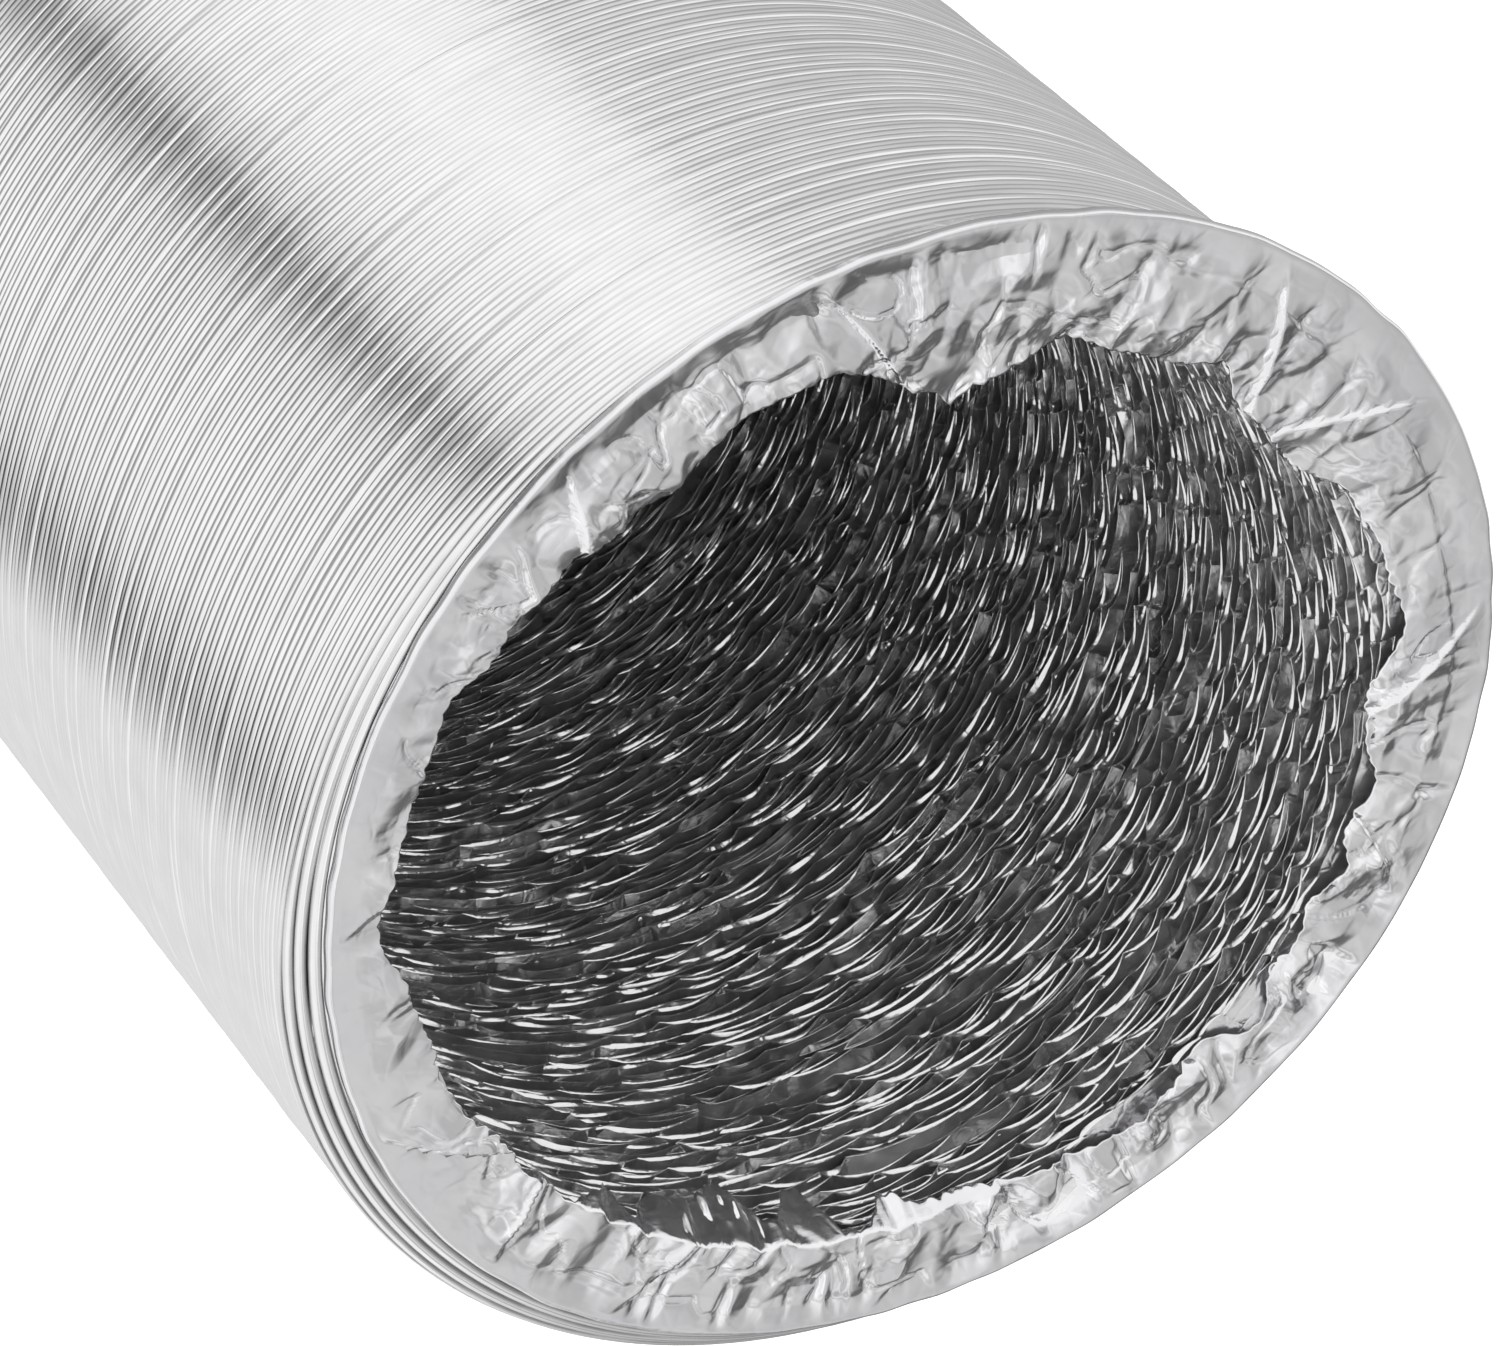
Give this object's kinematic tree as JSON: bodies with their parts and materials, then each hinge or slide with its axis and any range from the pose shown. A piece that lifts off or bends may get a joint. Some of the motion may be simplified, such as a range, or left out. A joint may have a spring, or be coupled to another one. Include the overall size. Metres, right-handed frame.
{
  "type": "flexible air duct",
  "caption": "Flexible foil air duct, pushed together as stored: a pleated aluminium hose on turns of spring wire, with folded end cuffs. It stretches and bends.",
  "frame": {"origin": "middle of the rear end face", "axes": "+Z along the duct's axis, from the rear end to the front end; +X towards the side that opens in the first bend"},
  "size_m": [0.2067, 0.2068, 0.2889],
  "materials": {
    "outer_foil": "bright ribbed foil laminate",
    "inner_foil": "bright crumpled foil laminate",
    "cuff_foil": "soft creased foil laminate",
    "spring_steel": "drawn spring wire"
  },
  "bodies": {
    "section_01": {"rear_cuff": "cuff_foil", "wire_turns_01": "spring_steel", "outer_ply_01": "outer_foil", "inner_ply_01": "inner_foil", "joint_pleat_01": "inner_foil"},
    "section_02": {"wire_turns_02": "spring_steel", "outer_ply_02": "outer_foil", "inner_ply_02": "inner_foil", "joint_pleat_02": "inner_foil"},
    "section_03": {"wire_turns_03": "spring_steel", "outer_ply_03": "outer_foil", "inner_ply_03": "inner_foil", "joint_pleat_03": "inner_foil"},
    "section_04": {"wire_turns_04": "spring_steel", "outer_ply_04": "outer_foil", "inner_ply_04": "inner_foil", "joint_pleat_04": "inner_foil"},
    "section_05": {"wire_turns_05": "spring_steel", "outer_ply_05": "outer_foil", "inner_ply_05": "inner_foil", "joint_pleat_05": "inner_foil"},
    "section_06": {"wire_turns_06": "spring_steel", "outer_ply_06": "outer_foil", "inner_ply_06": "inner_foil", "joint_pleat_06": "inner_foil"},
    "section_07": {"wire_turns_07": "spring_steel", "outer_ply_07": "outer_foil", "inner_ply_07": "inner_foil", "joint_pleat_07": "inner_foil"},
    "section_08": {"wire_turns_08": "spring_steel", "outer_ply_08": "outer_foil", "inner_ply_08": "inner_foil", "joint_pleat_08": "inner_foil"},
    "section_09": {"wire_turns_09": "spring_steel", "outer_ply_09": "outer_foil", "inner_ply_09": "inner_foil", "joint_pleat_09": "inner_foil"},
    "section_10": {"wire_turns_10": "spring_steel", "outer_ply_10": "outer_foil", "inner_ply_10": "inner_foil", "joint_pleat_10": "inner_foil"},
    "section_11": {"wire_turns_11": "spring_steel", "outer_ply_11": "outer_foil", "inner_ply_11": "inner_foil", "joint_pleat_11": "inner_foil"},
    "section_12": {"wire_turns_12": "spring_steel", "outer_ply_12": "outer_foil", "inner_ply_12": "inner_foil", "front_cuff": "cuff_foil"}
  },
  "joints": [
    {"name": "stretch_1", "type": "slide", "parent": "section_01", "child": "section_02", "axis": [0, 0, 1], "range_m": [0, 0.036], "deforming": ["joint_pleat_01"]},
    {"name": "bend_y_1", "type": "hinge", "parent": "section_02", "child": "section_03", "pos_m": [-0.1032, 0, 0.04845], "axis": [0, -1, 0], "range_deg": [0, 10], "deforming": ["joint_pleat_02"]},
    {"name": "stretch_2", "type": "slide", "parent": "section_03", "child": "section_04", "axis": [0, 0, 1], "range_m": [0, 0.036], "deforming": ["joint_pleat_03"]},
    {"name": "bend_x_1", "type": "hinge", "parent": "section_04", "child": "section_05", "pos_m": [0, 0.1032, 0.09645], "axis": [-1, 0, 0], "range_deg": [0, 10], "deforming": ["joint_pleat_04"]},
    {"name": "stretch_3", "type": "slide", "parent": "section_05", "child": "section_06", "axis": [0, 0, 1], "range_m": [0, 0.036], "deforming": ["joint_pleat_05"]},
    {"name": "bend_y_2", "type": "hinge", "parent": "section_06", "child": "section_07", "pos_m": [-0.1032, 0, 0.14445], "axis": [0, -1, 0], "range_deg": [0, 10], "deforming": ["joint_pleat_06"]},
    {"name": "stretch_4", "type": "slide", "parent": "section_07", "child": "section_08", "axis": [0, 0, 1], "range_m": [0, 0.036], "deforming": ["joint_pleat_07"]},
    {"name": "bend_x_2", "type": "hinge", "parent": "section_08", "child": "section_09", "pos_m": [0, 0.1032, 0.19245], "axis": [-1, 0, 0], "range_deg": [0, 10], "deforming": ["joint_pleat_08"]},
    {"name": "stretch_5", "type": "slide", "parent": "section_09", "child": "section_10", "axis": [0, 0, 1], "range_m": [0, 0.036], "deforming": ["joint_pleat_09"]},
    {"name": "bend_y_3", "type": "hinge", "parent": "section_10", "child": "section_11", "pos_m": [-0.1032, 0, 0.24045], "axis": [0, -1, 0], "range_deg": [0, 10], "deforming": ["joint_pleat_10"]},
    {"name": "stretch_6", "type": "slide", "parent": "section_11", "child": "section_12", "axis": [0, 0, 1], "range_m": [0, 0.036], "deforming": ["joint_pleat_11"]}
  ],
  "couplings": [
    {"joint": "stretch_2", "follows": "stretch_1", "ratio": 1},
    {"joint": "stretch_3", "follows": "stretch_1", "ratio": 1},
    {"joint": "bend_y_2", "follows": "bend_y_1", "ratio": 1},
    {"joint": "stretch_4", "follows": "stretch_1", "ratio": 1},
    {"joint": "bend_x_2", "follows": "bend_x_1", "ratio": 1},
    {"joint": "stretch_5", "follows": "stretch_1", "ratio": 1},
    {"joint": "bend_y_3", "follows": "bend_y_1", "ratio": 1},
    {"joint": "stretch_6", "follows": "stretch_1", "ratio": 1}
  ]
}
